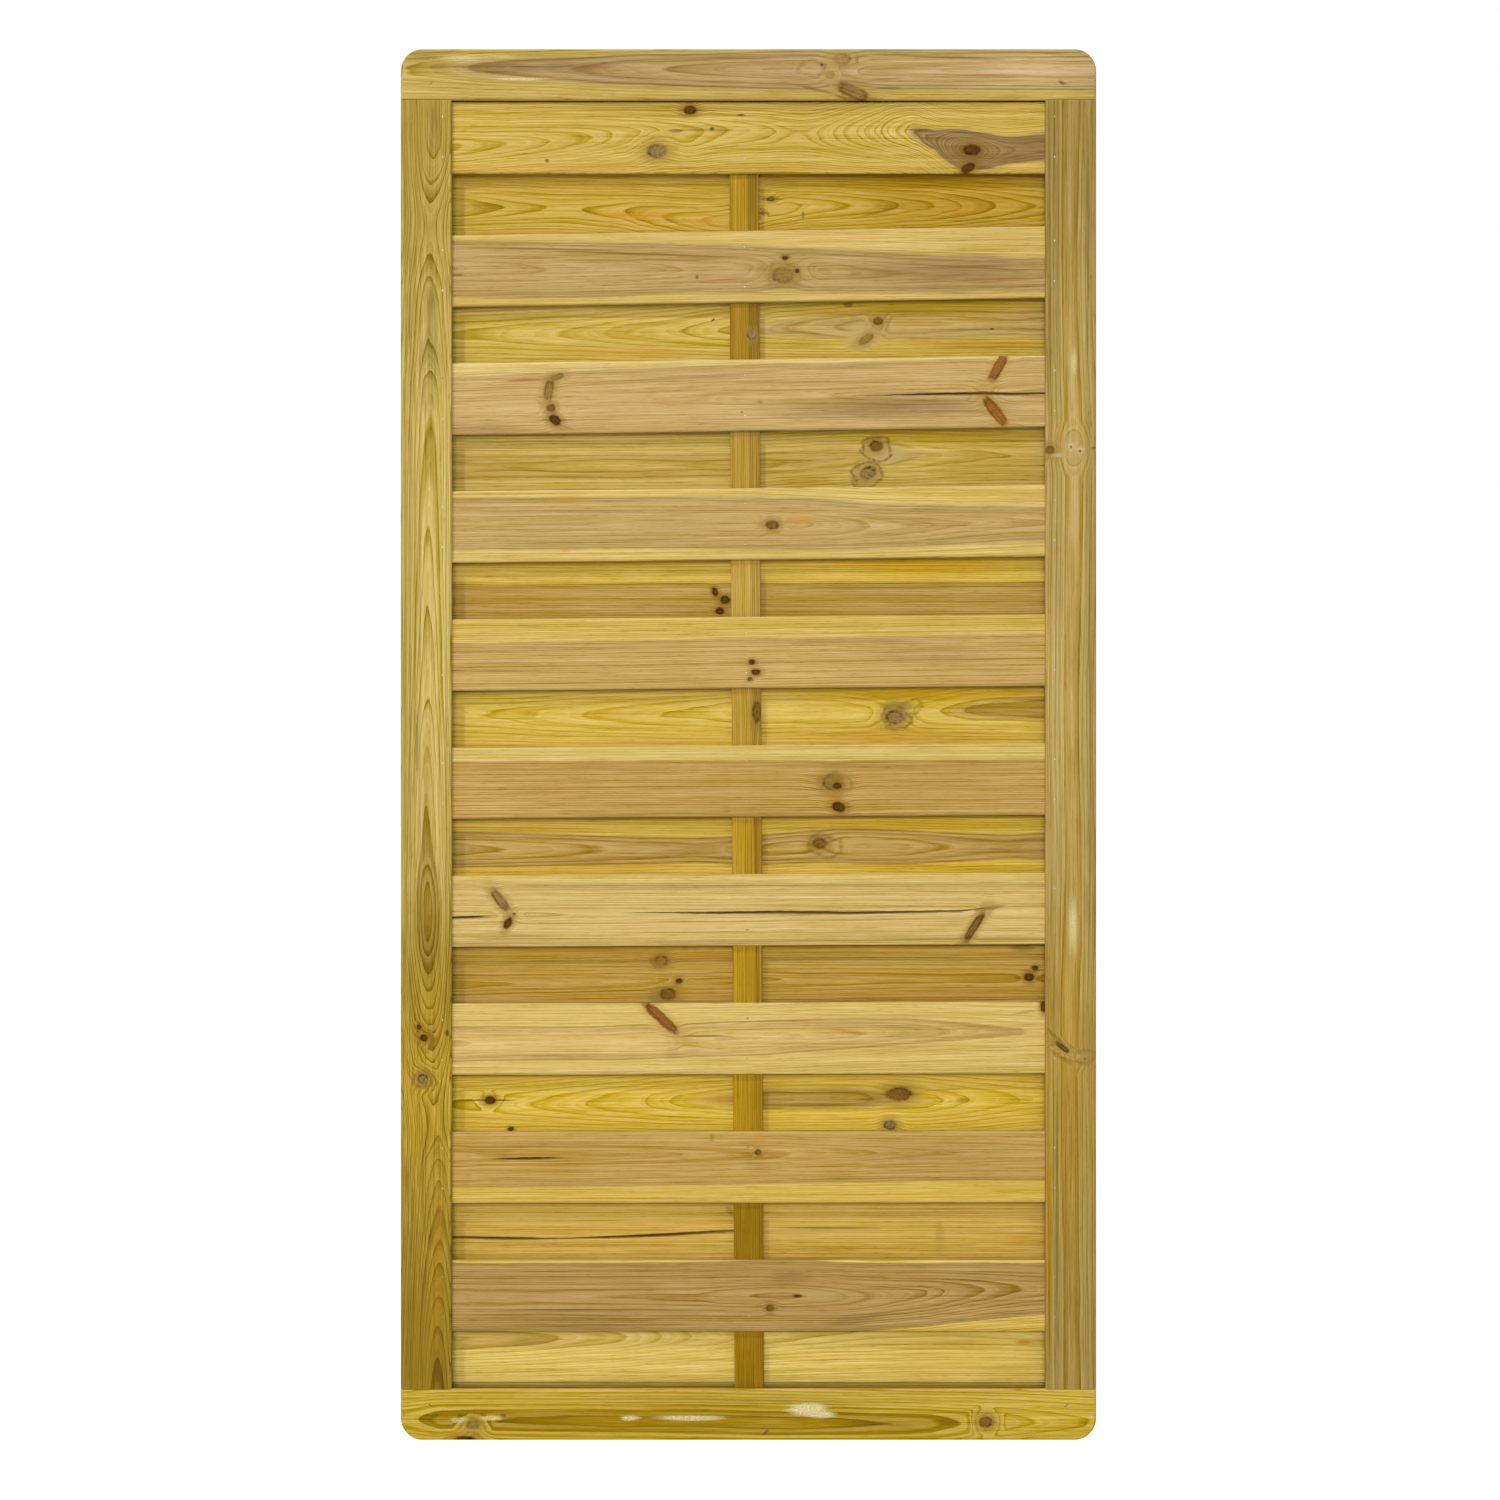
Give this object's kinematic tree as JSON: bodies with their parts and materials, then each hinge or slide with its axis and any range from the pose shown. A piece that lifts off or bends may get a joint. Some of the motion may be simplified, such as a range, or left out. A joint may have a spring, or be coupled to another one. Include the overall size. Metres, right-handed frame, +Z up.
{
  "type": "hit-and-miss closeboard fence panel",
  "caption": "Upright timber fence panel: a grooved, tenoned frame with rounded corners holds two layers of horizontal boards, each covering the other's gaps, nailed to a centre batten.",
  "frame": {"origin": "on the ground under the middle of the panel, midway between its front and back faces", "axes": "+Z up, +X to the right along the rails seen from the front, +Y from the front face to the back"},
  "size_m": [0.9, 0.045, 1.8],
  "materials": {
    "frame_timber": "matte",
    "front_board_timber": "matte",
    "back_board_timber": "matte",
    "batten_timber": "matte",
    "galvanised_wire": "satin"
  },
  "bodies": {
    "root": {"back_batten_brads": "galvanised_wire", "back_board_01": "back_board_timber", "back_board_02": "back_board_timber", "back_board_03": "back_board_timber", "back_board_04": "back_board_timber", "back_board_05": "back_board_timber", "back_board_06": "back_board_timber", "back_board_07": "back_board_timber", "back_board_08": "back_board_timber", "back_board_09": "back_board_timber", "back_board_10": "back_board_timber", "back_left_stile_brads": "galvanised_wire", "back_right_stile_brads": "galvanised_wire", "bottom_rail": "frame_timber", "centre_batten": "batten_timber", "corner_staples": "galvanised_wire", "front_batten_brads": "galvanised_wire", "front_board_01": "front_board_timber", "front_board_02": "front_board_timber", "front_board_03": "front_board_timber", "front_board_04": "front_board_timber", "front_board_05": "front_board_timber", "front_board_06": "front_board_timber", "front_board_07": "front_board_timber", "front_board_08": "front_board_timber", "front_board_09": "front_board_timber", "front_board_10": "front_board_timber", "front_left_stile_brads": "galvanised_wire", "front_right_stile_brads": "galvanised_wire", "left_stile": "frame_timber", "right_stile": "frame_timber", "top_rail": "frame_timber"}
  },
  "joints": []
}
